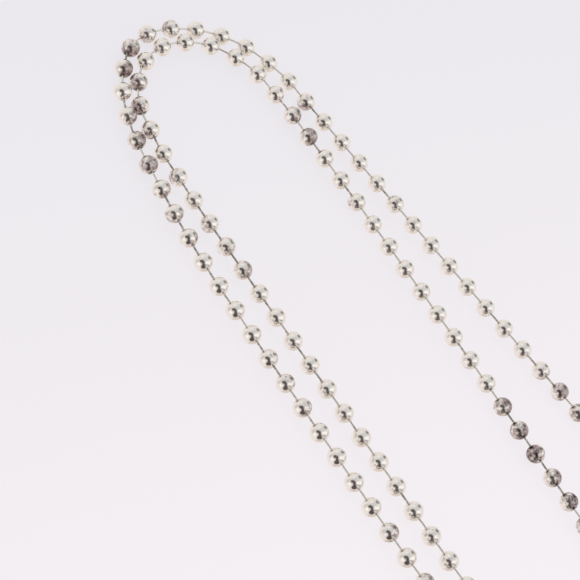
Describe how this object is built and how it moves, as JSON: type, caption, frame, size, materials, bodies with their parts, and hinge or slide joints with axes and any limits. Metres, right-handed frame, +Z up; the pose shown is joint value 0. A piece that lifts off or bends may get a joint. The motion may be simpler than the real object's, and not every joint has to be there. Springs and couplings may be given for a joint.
{
  "type": "ball chain necklace",
  "caption": "Silver ball chain in a closed loop, laid folded double, with wire links between hollow balls and a plain sleeve clasp.",
  "frame": {"origin": "middle of the area that the laid chain covers, on the surface that it lies on", "axes": "+Z up from the surface; +X along the laid strands, from the fold towards the two loops"},
  "size_m": [0.1312, 0.06, 0.0035],
  "materials": {
    "ball_silver": "polished silver with brown tarnish on some balls",
    "link_silver": "drawn silver wire, slightly dull",
    "clasp_silver": "polished silver sheet"
  },
  "bodies": {
    "root": {"balls": "ball_silver", "links": "link_silver", "clasp": "clasp_silver"}
  },
  "joints": []
}
